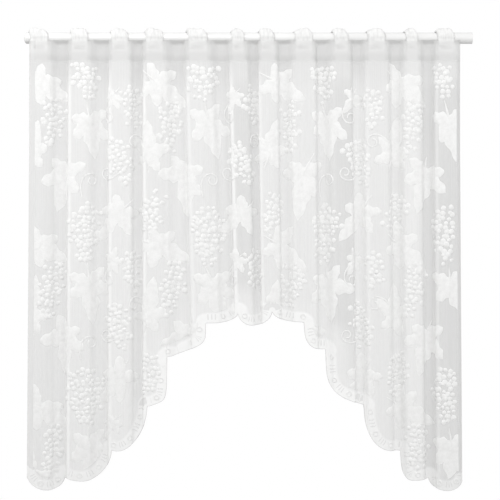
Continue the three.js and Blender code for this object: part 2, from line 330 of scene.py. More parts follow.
def fold_at(q):
    """The number of the fold at hung place q, whether q is left of its tab, and its share of a ridge.

    That share is 1 on the land under the tab and 0 on the floor of the valley.
    """
    k = np.clip(np.searchsorted(FOLDS["valley"], q, side="right"), 0, len(FOLD_ROWS) - 1)
    on_left = q < FOLDS["tab"][k]
    floor_place = np.where(on_left, np.append(LEFT_OF_CLOTH, FOLDS["valley"])[k], FOLDS["valley"][k])
    land_half = FOLDS["width"][k] / 2 + LAND_MARGIN
    slope_foot = blend(land_half, np.abs(floor_place - FOLDS["tab"][k]), SLOPE_SHARE)
    return k, on_left, 1 - eased(np.abs(q - FOLDS["tab"][k]), land_half, slope_foot)


def valley_depth(k, on_left):
    """How far back the floor of the valley lies on that side of the fold."""
    return np.where(on_left, np.append(LEFT_OF_CLOTH_AFT, FOLDS["aft"])[k], FOLDS["aft"][k])


def cloth_points(q, z):
    """Points of the cloth at hung places q and heights z: a ridge under each tab, valleys between."""
    fall = np.clip(fall_at(z), 0, None)
    ridges_loose = eased(fall, RIDGES_START, FOLDS_FULL)
    valleys_loose = 1 - (1 - np.clip(fall / FOLDS_FULL, 0, 1)) ** 2
    k, on_left, ridge = fold_at(q)
    lap = np.where(on_left, FOLDS["lap_left"][k], -FOLDS["lap_right"][k])
    from_middle = (q - FOLDS["tab"][k]) / (FOLDS["width"][k] / 2 + LAND_MARGIN)
    crown = RIDGE_CROWN * np.clip(1 - from_middle**2, 0, None)
    fore = blend(HEADER_FORE, FOLDS["fore"][k] + crown, ridges_loose)
    aft = blend(-HEADER_VALLEY_FORE, valley_depth(k, on_left), valleys_loose)
    lap_share = blend(HEADER_LAP_SHARE, 1, valleys_loose) * np.sin(2 * np.pi * ridge)
    sag = HEADER_SAG * (1 - ridge) * (1 - valleys_loose)
    puff = np.exp(
        -(((from_middle - PUFF_PLACE) / PUFF_SPREAD) ** 2) - ((z - PUFF_HEIGHT) / PUFF_HALF) ** 2
    )
    depth = blend(aft, -fore, ridge) - PUFF_FORE * puff
    clear_radius = blend(UPSTAND_RADIUS, UPSTAND_RADIUS_AT_TABS, ridge)
    against_rod = -np.sqrt(np.clip(clear_radius**2 - z**2, 0, None))
    depth = np.where(z > HEADER_TOP, np.minimum(depth, against_rod), depth)
    for place, half_width, forward, top, foot in CREASE_ROWS:
        shown = eased(-z, -top, -top + CREASE_FADE) * (1 - eased(-z, -foot - CREASE_FADE, -foot))
        depth = depth - forward * shown * np.exp(-(((q - place) / half_width) ** 2))
    return np.stack((q + sideways_run(q, z) + lap * lap_share, depth, z - sag), axis=-1)


def hem_height(x):
    """The hem's height at x: each scallop is two rounded quarters that meet at its lowest point."""
    inside = np.clip(x, SCALLOPS[0, 0], SCALLOPS[-1, 0] - 1e-6)
    k = np.searchsorted(SCALLOPS[:, 0], inside, side="right") - 1
    low_x, low_z, left_power, right_power, slant = SCALLOPS[k, 2:].T
    on_left = inside < low_x
    cusp = np.where(on_left[:, None], SCALLOPS[k, :2], SCALLOPS[k + 1, :2])
    power = np.where(on_left, left_power, right_power)
    out = np.clip((inside - low_x) / (cusp[:, 0] - low_x), 0, 1)
    return blend(cusp[:, 1], low_z, (1 - out**power) ** (1 / power) * (1 - slant * out))


def hem_of_column(q):
    """The height of the hem on the column that hangs from q."""
    hem = hem_height(q)
    for _ in range(HEM_PASSES):
        hem = hem_height(cloth_points(q, hem)[:, 0])
    return hem


# The flat width is measured along the folds, half way down the shorter middle of the cloth.
MEASURED_AT = -0.40
MEASURING_POINTS = 6001


def run_along(line):
    """The distance along a line of points, from its start to each of them."""
    return np.append(0, np.cumsum(np.hypot(*np.diff(line, axis=0).T)))


hung_steps = np.linspace(LEFT_EDGE, RIGHT_EDGE, MEASURING_POINTS)
fold_line = cloth_points(hung_steps, np.full_like(hung_steps, MEASURED_AT))
flat_steps = run_along(fold_line[:, :2])
FLAT_WIDTH = flat_steps[-1]


def hung_from_flat(s):
    return np.interp(s, flat_steps, hung_steps)


def flat_from_hung(q):
    return np.interp(q, hung_steps, flat_steps)


def grid_mesh(name, columns, rows):
    """A flat grid of quads, with each vertex's share across it and down it."""
    grid = bmesh.new()
    bmesh.ops.create_grid(grid, x_segments=columns, y_segments=rows, size=0.5)
    mesh = bpy.data.meshes.new(name)
    grid.to_mesh(mesh)
    grid.free()
    corners = np.empty(len(mesh.vertices) * 3)
    mesh.vertices.foreach_get("co", corners)
    corners = corners.reshape(-1, 3)
    return mesh, corners[:, 0] + 0.5, 0.5 - corners[:, 1]


def set_points(mesh, points):
    mesh.vertices.foreach_set("co", np.asarray(points, np.float32).ravel())
    mesh.update()


def set_uv(mesh, name, pairs):
    """A UV map from one pair of values for each vertex."""
    corner_vertex = np.empty(len(mesh.loops), np.int32)
    mesh.loops.foreach_get("vertex_index", corner_vertex)
    layer = mesh.uv_layers.new(name=name)
    layer.data.foreach_set("uv", np.asarray(pairs, np.float32)[corner_vertex].ravel())


def set_values(mesh, name, values):
    """A value for each vertex, that a material reads by name."""
    layer = mesh.attributes.new(name, "FLOAT", "POINT")
    layer.data.foreach_set("value", np.asarray(values, np.float32))


def hem_line(steps):
    """The hem's outline as x and z, with the same number of steps in each quarter of a scallop."""
    angles = np.linspace(0, np.pi / 2, steps + 1)
    line = []
    for k, (start_x, start_z, low_x, low_z, left_power, right_power, slant) in enumerate(SCALLOPS[:-1]):
        end_x, end_z = SCALLOPS[k + 1, :2]
        quarters = (
            (angles[::-1][:-1], start_x, start_z, left_power),
            (angles[:-1], end_x, end_z, right_power),
        )
        for turns, cusp_x, cusp_z, power in quarters:
            out = np.sin(turns) ** (2 / power)
            share = np.cos(turns).clip(0) ** (2 / power) * (1 - slant * out)
            line += zip(blend(low_x, cusp_x, out), blend(cusp_z, low_z, share))
    return np.array(line + [tuple(SCALLOPS[-1, :2])])


HEM_QUARTER_STEPS = 40
HEM_LINE = hem_line(HEM_QUARTER_STEPS)
HEM_RUN = run_along(HEM_LINE)
hem_tree = KDTree(len(HEM_LINE))
for number, (hem_x, hem_z) in enumerate(HEM_LINE):
    hem_tree.insert((hem_x, 0, hem_z), number)
hem_tree.balance()


def hem_distance(points):
    """Each point's distance from the hem's outline as seen from the front, and its place along it."""
    found = [hem_tree.find((x, 0, z)) for x, _, z in points]
    return np.array([hit[2] for hit in found]), HEM_RUN[[hit[1] for hit in found]]


# The net's mesh, and how much its threads waver.
NET_PITCH = 0.0016
NET_WAVER = 0.4

# How much of the view each part of the cloth covers. The net's threads and streaks add to its own share.
NET_DENSITY = 0.47
NET_THREADS = 0.16
NET_STREAKS = 0.36
HEADER_DENSITY = 0.90
STRAP_DENSITY = 0.95
SIDE_HEM_DENSITY = 0.80
FOLD_EDGE_DENSITY = 0.95
BORDER_DENSITY = 0.82

# Whites and greys of the parts of the cloth. The valley grey is painted shade, the header and seam greys
# are partly painted shade, and the strap white and border white also lay painted light on ridges and fold
# edges.
NET_GREY = near_white(0.775)
VALLEY_PAINTED_SHADE = near_white(0.58)
STRAP_AND_PAINTED_LIGHT_WHITE = near_white(0.89)
BORDER_AND_HIGHLIGHT_WHITE = near_white(0.96)
HEADER_GREY = near_white(0.72)
SEAM_SHADE_AND_BAR_GREY = near_white(0.55)

# One row for each scale of streak in the net: repeats for each metre across and down, and its share.
STREAKS = (
    (420.0, 5.0, 0.4),
    (70.0, 1.5, 0.6),
)

# Where the parts of the cloth start, fade and end, in metres.
HEADER_BLUR = 0.004
SEAM_TOP = 0.0220
SEAM_MIDDLE = 0.0380
SEAM_FOOT = 0.0400
SEAM_END = 0.0470
STRAP_INSIDE = -0.006
STRAP_OUTSIDE = 0.003
STRAP_TOP = 0.004
STRAP_FOOT = 0.034
SIDE_HEM_WIDTH = 0.015
SIDE_HEM_BLUR = 0.0015
FOLD_EDGE_HALF = 0.0034
BORDER_WIDTH = 0.029
BORDER_BLUR = 0.008
BAR_PITCH = 0.009
BAR_INSET = 0.007
BAR_LENGTH = 0.014
BAR_BLUR = 0.002
RIDGE_BLUR = 0.005
UNDER_HEADER_FADE = 0.10
ARCH_FADE = 0.06
ARCH_FOOT = -1.06
ARCH_FULL = -0.95

# The short bars along the border stand in groups. Bars and groups are cut from waves at these limits.
BARS_REPEAT = 7
BAR_EDGE = (0.25, 0.75)
BAR_GROUP_EDGE = (0.2, 0.4)

# Past the ends of the hem its distance counts more, so that the border narrows fast up the sides.
HEM_END_STRETCH = 2.5

# The shares of the full drop between which the folds' painted light and shade come in below the header.
BELOW_HEADER_FALL = (0.03, 0.12)

# How strongly each part takes its white or grey, painted light and shade among them, and lets light
# through.
HEADER_GREY_SHARE = 0.8
STRAP_WHITE_SHARE = 0.8
SEAM_SHADE_AND_BAR_SHARE = 0.42
SEAM_HIDDEN_SHARE = 0.85
BORDER_SHARE_AT_SIDES = 0.60
BORDER_SHARE_IN_ARCH = 0.92
ARCH_WHITE_SHARE = 0.35
UNDER_HEADER_SHARE = 0.60
UNDER_HEADER_RIDGE_SHARE = 0.5
NET_THROUGH_SHARE = 0.25

# The finish of all the thread: a dull, soft surface with a little sheen.
THREAD_BUMP = 0.5
THREAD_HEIGHT = 0.0006
THREAD_ROUGHNESS = 0.85
THREAD_SHEEN = 0.2
THREAD_SPECULAR = 0.15

# The band pattern repeats after this length at scale 1.
WAVE_PERIOD = 0.314


def math_node(tree, operation, *inputs):
    return place_node(tree, "ShaderNodeMath", inputs, operation=operation).outputs[0]


def step_between(tree, value, low, high):
    """0 below the first value, 1 above the second, and eased between them."""
    limits = (value, low, high, 0.0, 1.0)
    return place_node(tree, "ShaderNodeMapRange", limits, interpolation_type="SMOOTHSTEP").outputs[0]


def step_down(tree, value, low, high):
    """1 below the first value, 0 above the second, and eased between them."""
    return math_node(tree, "SUBTRACT", 1.0, step_between(tree, value, low, high))


def scaled(tree, value, factor):
    return math_node(tree, "MULTIPLY", value, factor)


def mixed_colour(tree, share, first, second):
    """The second colour's share over the first: a colour mix has them at its inputs 0, 6 and 7."""
    colours = {0: share, 6: first, 7: second}
    return place_node(tree, "ShaderNodeMix", colours, data_type="RGBA").outputs[2]


def cloth_shader(tree, colour, density, bump_height, through_share):
    """Thread that scatters light back and lets some through, with the open mesh clear between."""
    bump = place_node(tree, "ShaderNodeBump", (THREAD_BUMP, THREAD_HEIGHT, None, bump_height))
    finish = {
        "Base Color": colour,
        "Roughness": THREAD_ROUGHNESS,
        "Sheen Weight": THREAD_SHEEN,
        "Specular IOR Level": THREAD_SPECULAR,
        "Normal": bump.outputs[0],
    }
    thread = place_node(tree, "ShaderNodeBsdfPrincipled", finish)
    glow = place_node(tree, "ShaderNodeBsdfTranslucent", (colour,))
    clear = place_node(tree, "ShaderNodeBsdfTransparent")
    lit = place_node(tree, "ShaderNodeMixShader", (through_share, thread.outputs[0], glow.outputs[0]))
    cloth = place_node(tree, "ShaderNodeMixShader", (density, clear.outputs[0], lit.outputs[0]))
    place_node(tree, "ShaderNodeOutputMaterial", (cloth.outputs[0],))


def net_weave(tree, pitch):
    """A fine square net on the flat cloth, from 0 in its meshes to 1 on its threads, and its streaks."""
    flat = place_node(tree, "ShaderNodeUVMap", uv_map="flat").outputs[0]
    threads = []
    bands = (flat, WAVE_PERIOD / pitch, NET_WAVER, 1.0, 2.0)
    for direction in ("X", "Y"):
        wave = place_node(tree, "ShaderNodeTexWave", bands, wave_type="BANDS", bands_direction=direction)
        threads.append(wave.outputs["Fac"])
    net = math_node(tree, "MAXIMUM", *threads)
    streaks = 0.0
    for across, along, share in STREAKS:
        stretched = place_node(tree, "ShaderNodeMapping", (flat, None, None, (across, along, 1.0)))
        streak = noise(tree, stretched.outputs[0], 1.0, 3.0)
        streaks = math_node(tree, "MULTIPLY_ADD", streak, share, streaks)
    return net, streaks


def lace_ground_material():
    """Net that is thin all over, doubled at the header, and of a close weave at the border and side hems,
    with painted light and shade over its folds.
    """
    material, tree = new_material("lace_net")
    net, streaks = net_weave(tree, NET_PITCH)

    def value(name):
        return place_node(tree, "ShaderNodeAttribute", attribute_name=name).outputs["Fac"]

    hem_gap = value("hem_gap")
    header_gap = value("header_gap")
    fold_edge = value("fold_edge")
    in_header = step_down(tree, header_gap, HEADER_DEPTH - HEADER_BLUR, HEADER_DEPTH + HEADER_BLUR)
    in_side = step_down(tree, value("side_gap"), SIDE_HEM_WIDTH, SIDE_HEM_WIDTH + SIDE_HEM_BLUR)
    in_border = step_down(tree, hem_gap, BORDER_WIDTH - BORDER_BLUR, BORDER_WIDTH)
    under_tab = step_down(tree, value("strap_gap"), STRAP_INSIDE, STRAP_OUTSIDE)
    at_strap = scaled(tree, under_tab, step_down(tree, header_gap, STRAP_TOP, STRAP_FOOT))
    # A painted shadow line along the foot of the header, fainter under the tabs. The short bars along the
    # border share its grey.
    seam_shade = step_between(tree, header_gap, SEAM_TOP, SEAM_MIDDLE)
    seam_shade = math_node(tree, "SUBTRACT", seam_shade, step_between(tree, header_gap, SEAM_FOOT, SEAM_END))
    seam_shade = scaled(tree, seam_shade, math_node(tree, "MULTIPLY_ADD", under_tab, -SEAM_HIDDEN_SHARE, 1.0))
    around = 2 * math.pi / BAR_PITCH
    turns = math_node(tree, "MULTIPLY_ADD", value("hem_run"), around, math.pi * BARS_REPEAT)
    group = math_node(tree, "COSINE", scaled(tree, turns, 1 / BARS_REPEAT))
    bar_end = BAR_INSET + BAR_LENGTH
    bars = step_between(tree, math_node(tree, "COSINE", turns), *BAR_EDGE)
    bars = scaled(tree, bars, step_between(tree, group, *BAR_GROUP_EDGE))
    bars = scaled(tree, bars, step_between(tree, hem_gap, BAR_INSET, BAR_INSET + BAR_BLUR))
    bars = scaled(tree, bars, step_down(tree, hem_gap, bar_end, bar_end + BAR_BLUR))

    density = math_node(tree, "MULTIPLY_ADD", streaks, NET_STREAKS, NET_DENSITY)
    density = math_node(tree, "MULTIPLY_ADD", net, NET_THREADS, density)
    parts = (
        (in_header, HEADER_DENSITY),
        (at_strap, STRAP_DENSITY),
        (in_side, SIDE_HEM_DENSITY),
        (fold_edge, FOLD_EDGE_DENSITY),
        (in_border, BORDER_DENSITY),
    )
    for share, full in parts:
        kept = scaled(tree, density, math_node(tree, "SUBTRACT", 1.0, share))
        density = math_node(tree, "MULTIPLY_ADD", share, full, kept)
    # Painted light whitens some ridges and valleys; the net is also whiter towards the arch and on the
    # straps under the tabs.
    painted_light_strap_and_arch_white = math_node(tree, "MAXIMUM", value("painted_light_and_arch_white"), scaled(tree, at_strap, STRAP_WHITE_SHARE))
    # The fold edges take the border's white as a painted highlight.
    border_and_edge_highlight = math_node(tree, "MAXIMUM", fold_edge, scaled(tree, in_border, value("border_white")))
    seam_shade_and_bars = scaled(tree, math_node(tree, "MAXIMUM", seam_shade, bars), SEAM_SHADE_AND_BAR_SHARE)
    # The folds' grey is painted shade: in the valleys, on greyed ridges and under the header.
    colour = mixed_colour(tree, value("painted_fold_shade"), NET_GREY, VALLEY_PAINTED_SHADE)
    # The header is greyed partly for its doubled net and partly as painted shade under the pole.
    colour = mixed_colour(tree, scaled(tree, in_header, HEADER_GREY_SHARE), colour, HEADER_GREY)
    colour = mixed_colour(tree, painted_light_strap_and_arch_white, colour, STRAP_AND_PAINTED_LIGHT_WHITE)
    colour = mixed_colour(tree, border_and_edge_highlight, colour, BORDER_AND_HIGHLIGHT_WHITE)
    colour = mixed_colour(tree, seam_shade_and_bars, colour, SEAM_SHADE_AND_BAR_GREY)
    cloth_shader(tree, colour, density, net, NET_THROUGH_SHARE)
    return material


ground_mesh, across, down = grid_mesh("lace_ground", GROUND_COLUMNS, GROUND_ROWS)
ground_hung = hung_from_flat(across * FLAT_WIDTH)
ground_hem = hem_of_column(ground_hung)
fold, left_of_tab, ridge = fold_at(ground_hung)
ground_top = HEADER_TOP + blend(UPSTAND, UPSTAND_AT_TABS, eased(ridge, 0.5, 1))
ground_z = blend(ground_top, ground_hem, 1 - (1 - down) ** HEM_CROWDING)
ground_points = cloth_points(ground_hung, ground_z)
set_points(ground_mesh, ground_points)
set_uv(ground_mesh, "flat", np.column_stack((across * FLAT_WIDTH, HEADER_TOP - ground_z)))

hem_gap, hem_run = hem_distance(ground_points)
past_ends = (hem_run <= 0) | (hem_run >= HEM_RUN[-1])
hem_gap *= np.where(past_ends, HEM_END_STRETCH, 1)
header_gap = HEADER_TOP - ground_z
strap_gap = np.abs(ground_hung - FOLDS["tab"][fold]) - FOLDS["width"][fold] / 2
below_header = eased(fall_at(ground_z), *BELOW_HEADER_FALL)
# A painted highlight down the left edge of each ridge that laps over, where the net is also made denser.
edge_gap = np.where(left_of_tab, strap_gap - LAND_MARGIN, 1)
edge_lap = FOLDS["lap_left"][fold] / FOLDS["lap_left"].max()
fold_edge = edge_lap * below_header * np.exp(-((edge_gap / FOLD_EDGE_HALF) ** 2))

# Painted light and shade over the folds: each fold's painted light or shade fades from its ridge to the
# valleys beside it. The painted shade fades out towards the arch, where the net is whiter.
ridge_painted_shade = -FOLDS["white"][fold]
valley_painted_shade = np.where(
    left_of_tab, np.append(LEFT_OF_CLOTH_PAINTED_SHADE, FOLDS["grey"])[fold], FOLDS["grey"][fold]
)
on_ridge = 1 - eased(strap_gap, -RIDGE_BLUR, RIDGE_BLUR)
painted_lightening = np.maximum(-ridge_painted_shade * on_ridge, -valley_painted_shade * (1 - ridge) * below_header).clip(0)
painted_greying = blend(valley_painted_shade.clip(0), ridge_painted_shade.clip(0), ridge) * below_header
in_arch = eased(ground_hem, ARCH_FOOT, ARCH_FULL)
by_arch = in_arch * (1 - eased(hem_gap, BORDER_WIDTH, BORDER_WIDTH + ARCH_FADE))
# Painted shadow of the pole and header: the net is greyed in the header and for a short way below it,
# less on the ridges.
under_header = 1 - eased(header_gap, HEADER_DEPTH, HEADER_DEPTH + UNDER_HEADER_FADE)
header_shade = UNDER_HEADER_SHARE * under_header * (1 - UNDER_HEADER_RIDGE_SHARE * ridge)
ground_values = {
    "hem_gap": hem_gap,
    "hem_run": hem_run,
    "header_gap": header_gap,
    "strap_gap": strap_gap,
    "side_gap": np.minimum(ground_hung - LEFT_EDGE, RIGHT_EDGE - ground_hung),
    "fold_edge": fold_edge,
    "painted_light_and_arch_white": np.maximum(painted_lightening, ARCH_WHITE_SHARE * by_arch),
    "painted_fold_shade": np.maximum(painted_greying * (1 - by_arch), header_shade),
    "border_white": blend(BORDER_SHARE_AT_SIDES, BORDER_SHARE_IN_ARCH, in_arch),
}
for name, values in ground_values.items():
    set_values(ground_mesh, name, values)
ground_mesh.shade_smooth()
lace_ground = add_piece("lace_ground", ground_mesh, lace_ground_material(), "lace", "lace_panel")


# Grape bunches: hanging heads of round berries, each worked into the net as a raised dome of thick
# soft thread, with the open net in the gaps. They repeat over the whole cloth.
BERRY_RADIUS = 0.0067
BERRY_SIZES = (0.70, 1.14)
BERRY_RELIEF = 0.0014
BERRY_STEPS = 12
BERRY_RINGS = ((0.82, 0.60), (0.45, 0.95), (0, 1))
BERRY_REACH = 0.004
BERRY_SPACING = 0.0134
BERRY_JITTER = BERRY_SPACING * 0.17
ROW_SPACING = BERRY_SPACING * 0.87
ROW_SHIFT = BERRY_SPACING * 0.35
ROW_REACH = 6
EDGE_SCATTER = BERRY_SPACING * 0.9
HEAD_TAPER = 0.20
LEAST_OF_BUNCH = 0.4
BUNCH_SEED = 11
PAD_BACK = 0.2
MOTIF_DENSITY = 0.93
THREAD_WHITE = near_white(0.865)
THREAD_SHADE = near_white(0.77)
STITCH_GRAIN = 420.0
THREAD_PATCHES = 95.0
THREAD_FULLNESS = (0.50, 1.45)
TILE_WIDTH = FLAT_WIDTH * 0.280
TILE_DROP = 0.405
TILE_START = flat_from_hung(-0.456)
TILE_TOP = 0.0455
TILE_COLUMNS = range(-2, 5)
TILE_ROWS = range(3)
PATTERN_TOP = HEADER_DEPTH + 0.004
PATTERN_SIDE = SIDE_HEM_WIDTH * 1.3
PATTERN_EDGE_POINTS = 1200
PATTERN_EDGE_SHIFTS = (-0.016, -0.008, 0, 0.008, 0.016)
MOTIF_MARGIN = 0.026
MOTIF_FOOT_REACH = 0.6
SLOPE_STEP = 0.0004
SOFT_EDGE_DEGREES = 70
scatter = np.random.default_rng(BUNCH_SEED)

# One row for each bunch in the repeat: place across and down as shares of it, width, length, lean.
BUNCHES = (
    (0.19, 0.060, 0.098, 0.150, 0),
    (0.58, 0.280, 0.062, 0.104, 8),
    (0.47, 0.620, 0.076, 0.124, 20),
    (0.91, 0.390, 0.068, 0.142, -10),
    (0.76, 0.935, 0.070, 0.116, -14),
)


def band(first, second, count):
    """Quads between two rings of points, from the numbers of their first points."""
    quads = []
    for step in range(count):
        beside = (step + 1) % count
        quads.append((first + step, first + beside, second + beside, second + step))
    return quads


def closed_patch(outline, rings):
    """A soft pad over a flat outline: its rim lies on the cloth and its middle stands up.

    The rings run inward from the rim as pairs of size and height, and the last one is the middle.
    """
    middle = outline.mean(axis=0)
    count = len(outline)
    loops = [np.column_stack((outline, np.zeros(count)))]
    for size, height in rings[:-1]:
        loops.append(np.column_stack((middle + (outline - middle) * size, np.full(count, height))))
    points = np.vstack(loops + [[*middle, rings[-1][1]], [*middle, -PAD_BACK]])
    inner = (len(loops) - 1) * count
    faces = []
    for first in range(0, inner, count):
        faces += band(first, first + count, count)
    for step in range(count):
        beside = (step + 1) % count
        faces.append((inner + step, inner + beside, len(points) - 2))
        faces.append((beside, step, len(points) - 1))
    return points, faces


def ellipse(length, width, steps):
    angles = np.linspace(0, 2 * np.pi, steps, endpoint=False)
    return np.column_stack((width / 2 * np.cos(angles), length / 2 * np.sin(angles)))


def on_cloth(s, d, height):
    """Points at flat places s and drops d, standing the height in front of the cloth."""
    q = hung_from_flat(s)
    z = HEADER_TOP - d
    middle = cloth_points(q, z)
    along = cloth_points(q + SLOPE_STEP, z) - cloth_points(q - SLOPE_STEP, z)
    below = cloth_points(q, z - 2 * SLOPE_STEP) - cloth_points(q, z + 2 * SLOPE_STEP)
    front = np.cross(along, below)
    front *= np.sign(-front[..., 1:2]) / np.linalg.norm(front, axis=-1, keepdims=True)
    return middle + front * height[..., None]


def copies_on_cloth(shape, s, d, relief, lift=0.0, size=1.0):
    """A copy of one small shape at each flat place and drop: heights times relief, raised by the lift."""
    heights = np.broadcast_to(shape[:, 2] * relief + lift, (len(s), len(shape)))
    return on_cloth(s[:, None] + shape[:, 0] * size, d[:, None] - shape[:, 1] * size, heights)


# The pattern ends above the border: its lowest drop at each flat place, a margin in from the hem.
edge_hung = np.linspace(LEFT_EDGE, RIGHT_EDGE, PATTERN_EDGE_POINTS)
edge_hems = []
for shift in PATTERN_EDGE_SHIFTS:
    edge_hems.append(hem_of_column(np.clip(edge_hung + shift, LEFT_EDGE, RIGHT_EDGE)))
edge_drops = HEADER_TOP - np.max(edge_hems, axis=0) - MOTIF_MARGIN


def inner_edge(s):
    return np.interp(s, flat_from_hung(edge_hung), edge_drops)


def in_pattern(s, d, reach):
    """True where a motif of the given reach keeps clear of the header, the side hems and the border."""
    inside = (s > PATTERN_SIDE + reach) & (s < FLAT_WIDTH - PATTERN_SIDE - reach)
    return inside & (d > PATTERN_TOP + reach) & (d < inner_edge(s) - reach * MOTIF_FOOT_REACH)


def turned(points, degrees):
    """Flat points turned anticlockwise about their origin."""
    angle = math.radians(degrees)
    return points @ np.array(((math.cos(angle), math.sin(angle)), (-math.sin(angle), math.cos(angle))))


def soft_mesh(name, points, faces):
    """A smooth mesh of thread work from its points and faces."""
    mesh = bpy.data.meshes.new(name)
    mesh.from_pydata(points, [], faces)
    mesh.shade_smooth()
    mesh.set_sharp_from_angle(angle=math.radians(SOFT_EDGE_DEGREES))
    return mesh


def moved_faces(faces, first):
    """Faces whose points now start at the given number."""
    return [tuple(first + corner for corner in face) for face in faces]


def joined_mesh(name, points, faces):
    """One mesh of many copies: points has a row of points for each copy, faces are those of one copy."""
    copies, count = points.shape[:2]
    all_faces = []
    for first in range(0, copies * count, count):
        all_faces += moved_faces(faces, first)
    return soft_mesh(name, points.reshape(-1, 3), all_faces)


def repeats():
    """Flat places of the top left corners of the repeats that touch the cloth."""
    for column in TILE_COLUMNS:
        for row in TILE_ROWS:
            yield TILE_START + column * TILE_WIDTH, TILE_TOP + row * TILE_DROP


def bunch_places():
    """Flat places of all berries: each bunch is a packed head that tapers to its foot.

    A bunch that meets the edge of the pattern keeps the berries inside it, or none if few are left.
    """
    heads = []
    for corner_s, corner_d in repeats():
        for across, down_share, width, length, lean in BUNCHES:
            head = []
            rows = round(length / ROW_SPACING)
            for row in range(rows + 1):
                along = 1 - 2 * row / rows
                half = width / 2 * math.sqrt(max(0, 1 - along * along)) * (1 - HEAD_TAPER * (1 - along))
                shift = scatter.normal(0, ROW_SHIFT)
                for step in range(-ROW_REACH, ROW_REACH + 1):
                    side = (step + 0.5 * (row % 2)) * BERRY_SPACING + shift
                    reach = half + scatter.uniform(-EDGE_SCATTER, EDGE_SCATTER)
                    jitter = scatter.normal(0, BERRY_JITTER, 2)
                    if abs(side) <= reach:
                        head.append((side + jitter[0], along * length / 2 + jitter[1]))
            head = turned(np.array(head), lean)
            s = corner_s + across * TILE_WIDTH + head[:, 0]
            d = corner_d + down_share * TILE_DROP - head[:, 1]
            inside = in_pattern(s, d, BERRY_REACH)
            if inside.mean() > LEAST_OF_BUNCH:
                heads.append(np.column_stack((s, d))[inside])
    return np.vstack(heads)


def motif_material():
    """Close-set white thread, brushed by the direction of its stitches."""
    material, tree = new_material("motif_thread")
    place = object_place(tree)
    stitches = noise(tree, place, STITCH_GRAIN, 2.0)
    fullness = math_node(tree, "ADD", stitches, noise(tree, place, THREAD_PATCHES, 2.0))
    shade = mixed_colour(tree, step_between(tree, fullness, *THREAD_FULLNESS), THREAD_SHADE, THREAD_WHITE)
    cloth_shader(tree, shade, MOTIF_DENSITY, stitches, 0.0)
    return material


motif_thread = motif_material()
berry_points, berry_faces = closed_patch(ellipse(1, 1, BERRY_STEPS), BERRY_RINGS)
places = bunch_places()
sizes = 2 * BERRY_RADIUS * scatter.uniform(*BERRY_SIZES, len(places))
berries = copies_on_cloth(berry_points, *places.T, BERRY_RELIEF, size=sizes[:, None])
bunch_mesh = joined_mesh("grape_bunches", berries, berry_faces)
bunches = add_piece("grape_bunches", bunch_mesh, motif_thread, "lace")


# Vine leaves: flat lobed leaves in the same thick thread, each with a long pointed tip, four shorter
# lobes and a thin stalk, set between the bunches at many turns.
LEAF_RELIEF = 0.0006
LEAF_TEETH = 0.17
LEAF_TOOTH_COUNT = 3
LOBE_START = 0.010
LOBE_STEPS = 22
LOBE_SWING = 10
LOBE_LENGTHS = (0.88, 1.10)
STRIP_WIDTH = 0.0024
STRIP_LEAST = 0.0004
STRIP_FEWEST = 4
STRIP_INSET = 1e-5
STRIP_FULL_HEIGHT = 0.006
LOBE_BELLY = 0.85
LEAF_SEED = 5

# One row for each point round a strip: its share from bottom to top, and its height.
STRIP_ROWS = ((0, 0), (0.12, 0.8), (0.38, 1), (0.62, 1), (0.88, 0.8), (1, 0), (0.7, -0.4), (0.3, -0.4))

# One row for each lobe of a leaf that hangs tip down, and for its stalk: turn from the tip, length,
# width, height, and its taper, a power that is lower for a rounder lobe.
LEAF_LOBES = (
    (0, 0.100, 0.040, 1.00, 0.90),
    (58, 0.070, 0.030, 1.15, 0.60),
    (-66, 0.066, 0.032, 1.30, 0.60),
    (116, 0.062, 0.027, 1.45, 0.60),
    (-126, 0.058, 0.029, 1.60, 0.60),
    (172, 0.058, 0.005, 1.80, 1.00),
)

# One row for each leaf in the repeat: place across and down as shares of it, size, narrowing, turn.
LEAVES = (
    (0.215, 0.370, 1.22, 0.90, 14),
    (0.800, 0.130, 1.12, 0.95, 62),
    (0.740, 0.570, 1.10, 0.92, 172),
    (0.015, 0.690, 1.25, 0.95, -10),
    (0.480, 0.925, 1.10, 0.90, -38),
    (0.430, 0.215, 0.62, 0.95, -35),
)


def lobe_outline(length, width, taper):
    """A toothed lobe, from just above the origin down to its tip."""
    share = np.linspace(0, 1, LOBE_STEPS)
    toothed = 1 - LEAF_TEETH * np.cos(LEAF_TOOTH_COUNT * 2 * np.pi * share)
    half = width / 2 * np.sin(np.pi * share**LOBE_BELLY).clip(0) ** taper * toothed
    y = LOBE_START - length * share
    return np.vstack((np.column_stack((half, y)), np.column_stack((-half, y))[-2:0:-1]))


def strip_patch(outline, sides, top, foot_of):
    """A thin pad over a flat outline, in narrow strips from top to bottom that can follow the folds.

    It ends at the given sides and top, and at the foot that foot_of gives for each x.
    """
    start, end = outline, np.roll(outline, -1, axis=0)
    left = max(outline[:, 0].min(), sides[0])
    right = min(outline[:, 0].max(), sides[1])
    columns = max(STRIP_FEWEST, math.ceil((right - left) / STRIP_WIDTH)) if left < right else -1
    count = len(STRIP_ROWS)
    points, faces = [], []
    joined = False
    for x in np.linspace(left + STRIP_INSET, right - STRIP_INSET, columns + 1):
        crossing = (start[:, 0] <= x) != (end[:, 0] <= x)
        share = (x - start[crossing, 0]) / (end[crossing, 0] - start[crossing, 0])
        heights = start[crossing, 1] + share * (end[crossing, 1] - start[crossing, 1])
        low, high = max(heights.min(), foot_of(x)), min(heights.max(), top)
        here = len(points)
        if high - low < STRIP_LEAST:
            if joined:
                faces.append(tuple(range(here - count, here)))
            joined = False
            continue
        thickness = min(1, (high - low) / STRIP_FULL_HEIGHT)
        points += [(x, blend(low, high, along), height * thickness) for along, height in STRIP_ROWS]
        if joined:
            faces += band(here - count, here, count)
        else:
            faces.append(tuple(reversed(range(here, here + count))))
        joined = True
    if joined:
        faces.append(tuple(range(len(points) - count, len(points))))
    return np.array(points).reshape(-1, 3), faces


